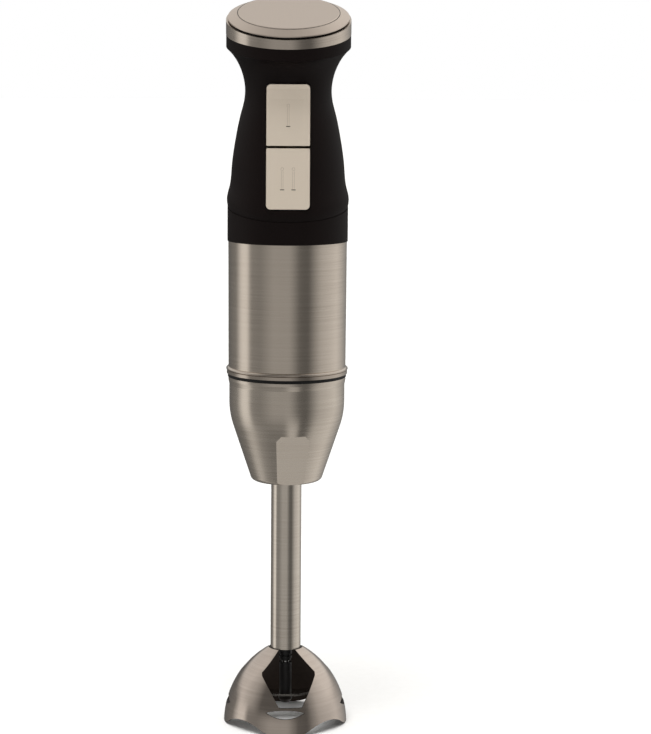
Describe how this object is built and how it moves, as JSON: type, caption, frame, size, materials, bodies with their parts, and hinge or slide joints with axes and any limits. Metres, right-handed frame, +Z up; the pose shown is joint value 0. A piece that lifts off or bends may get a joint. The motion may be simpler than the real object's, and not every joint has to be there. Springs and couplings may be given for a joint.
{
  "type": "immersion blender",
  "caption": "Upright stick blender: slanted-top black grip with front speed keys, brushed steel motor sleeve, twist-off tapered leg and windowed blade guard on a slim tube",
  "frame": {"origin": "On the plane the guard's feet stand on, under the middle of the guard, on the tube's axis", "axes": "+Z runs up the tube to the head, -Y is the side with the speed keys, +X is to the right of someone facing the keys"},
  "size_m": [0.0654, 0.0654, 0.3829],
  "materials": {
    "blade_guard": "polished pressed stainless steel",
    "bearing_housing": "black moulded nylon",
    "shaft_seal": "nitrile lip seal",
    "lower_bush": "sintered bronze",
    "upper_bush": "sintered bronze",
    "leg_tube": "drawn stainless tube, lightly brushed along it",
    "leg_bell": "deep-drawn stainless, brushed round",
    "leg_core": "black moulded nylon",
    "leg_seal": "black rubber joint ring",
    "drive_shaft": "ground stainless rod",
    "leg_coupling": "natural nylon",
    "shaft_clip": "spring steel",
    "blade_hub": "black moulded nylon",
    "blade_nut": "turned stainless",
    "blade": "ground stainless strip",
    "handle_front_shell": "black plastic with a soft satin skin",
    "handle_rear_shell": "black plastic with a soft satin skin",
    "handle_collar": "black satin plastic",
    "motor_sleeve": "stainless sleeve, brushed round",
    "lip_ring": "bright plated trim ring",
    "socket_ring": "black glass-filled nylon",
    "head_band": "brushed stainless band",
    "head_plug": "black moulded plastic",
    "top_cap": "champagne satin metal",
    "top_disc": "champagne satin aluminium",
    "button_speed_1": "champagne metallic lacquer",
    "button_speed_2": "champagne metallic lacquer",
    "button_spring_1": "spring wire",
    "button_spring_2": "spring wire",
    "plunger_1": "white acetal",
    "plunger_2": "white acetal",
    "switch_1": "black switch case",
    "switch_2": "black switch case",
    "control_board": "bare phenolic board",
    "suppression_capacitor": "yellow box capacitor",
    "board_diodes": "black epoxy",
    "choke_coils": "enamelled copper on ferrite",
    "board_screws": "zinc-plated steel",
    "handle_screws": "zinc-plated steel",
    "cord_gland": "black flexible gland",
    "cord_clamp": "black nylon saddle",
    "clamp_screws": "zinc-plated steel",
    "motor_cradle": "grey nylon",
    "lower_bracket": "die-cast aluminium",
    "upper_bracket": "die-cast aluminium",
    "lower_bearing": "ground bearing steel",
    "upper_bearing": "ground bearing steel",
    "motor_bolts": "zinc-plated steel",
    "stator_core": "laminated electrical steel",
    "field_coils": "enamelled copper wire",
    "brush_holders": "pressed brass",
    "carbon_brushes": "graphite",
    "brush_springs": "spring wire",
    "rotor_shaft": "ground steel",
    "rotor_core": "laminated electrical steel",
    "rotor_windings": "enamelled copper wire",
    "commutator": "copper segments",
    "cooling_fan": "black nylon",
    "motor_coupling": "natural nylon"
  },
  "bodies": {
    "motor_unit": {"handle_front_shell": "handle_front_shell", "handle_rear_shell": "handle_rear_shell", "handle_collar": "handle_collar", "motor_sleeve": "motor_sleeve", "lip_ring": "lip_ring", "socket_ring": "socket_ring", "head_band": "head_band", "head_plug": "head_plug", "top_cap": "top_cap", "top_disc": "top_disc", "switch_1": "switch_1", "switch_2": "switch_2", "control_board": "control_board", "suppression_capacitor": "suppression_capacitor", "board_diodes": "board_diodes", "choke_coils": "choke_coils", "board_screws": "board_screws", "handle_screws": "handle_screws", "cord_gland": "cord_gland", "cord_clamp": "cord_clamp", "clamp_screws": "clamp_screws", "motor_cradle": "motor_cradle", "lower_bracket": "lower_bracket", "upper_bracket": "upper_bracket", "lower_bearing": "lower_bearing", "upper_bearing": "upper_bearing", "motor_bolts": "motor_bolts", "stator_core": "stator_core", "field_coils": "field_coils", "brush_holders": "brush_holders", "carbon_brushes": "carbon_brushes", "brush_springs": "brush_springs", "button_spring_1": "button_spring_1", "button_spring_2": "button_spring_2"},
    "rotor": {"rotor_shaft": "rotor_shaft", "rotor_core": "rotor_core", "rotor_windings": "rotor_windings", "commutator": "commutator", "cooling_fan": "cooling_fan", "motor_coupling": "motor_coupling"},
    "speed_1": {"button_speed_1": "button_speed_1", "plunger_1": "plunger_1"},
    "speed_2": {"button_speed_2": "button_speed_2", "plunger_2": "plunger_2"},
    "joint_ring": {"leg_seal": "leg_seal"},
    "leg": {"blade_guard": "blade_guard", "bearing_housing": "bearing_housing", "shaft_seal": "shaft_seal", "lower_bush": "lower_bush", "upper_bush": "upper_bush", "leg_tube": "leg_tube", "leg_bell": "leg_bell", "leg_core": "leg_core"},
    "drive": {"drive_shaft": "drive_shaft", "leg_coupling": "leg_coupling", "shaft_clip": "shaft_clip", "blade_hub": "blade_hub", "blade_nut": "blade_nut", "blade": "blade"}
  },
  "joints": [
    {"name": "speed_1_press", "type": "slide", "parent": "motor_unit", "child": "speed_1", "axis": [0, 1, 0], "range_m": [0, 0.0015], "stiffness_N_per_m": 600, "springref_m": -0.002, "deforming": ["button_spring_1"]},
    {"name": "speed_2_press", "type": "slide", "parent": "motor_unit", "child": "speed_2", "axis": [0, 1, 0], "range_m": [0, 0.0015], "stiffness_N_per_m": 600, "springref_m": -0.002, "deforming": ["button_spring_2"]},
    {"name": "motor_spin", "type": "hinge", "parent": "motor_unit", "child": "rotor", "pos_m": [0, 0, 0.231], "axis": [0, 0, 1], "continuous": true},
    {"name": "leg_pull", "type": "slide", "parent": "motor_unit", "child": "joint_ring", "axis": [0, 0, -1], "range_m": [0, 0.03]},
    {"name": "leg_twist", "type": "hinge", "parent": "joint_ring", "child": "leg", "pos_m": [0, 0, 0.19], "axis": [0, 0, 1], "range_deg": [0, 25]},
    {"name": "blade_spin", "type": "hinge", "parent": "leg", "child": "drive", "pos_m": [0, 0, 0.1], "axis": [0, 0, 1], "continuous": true}
  ],
  "couplings": [
    {"joint": "blade_spin", "follows": "motor_spin", "ratio": 1}
  ]
}
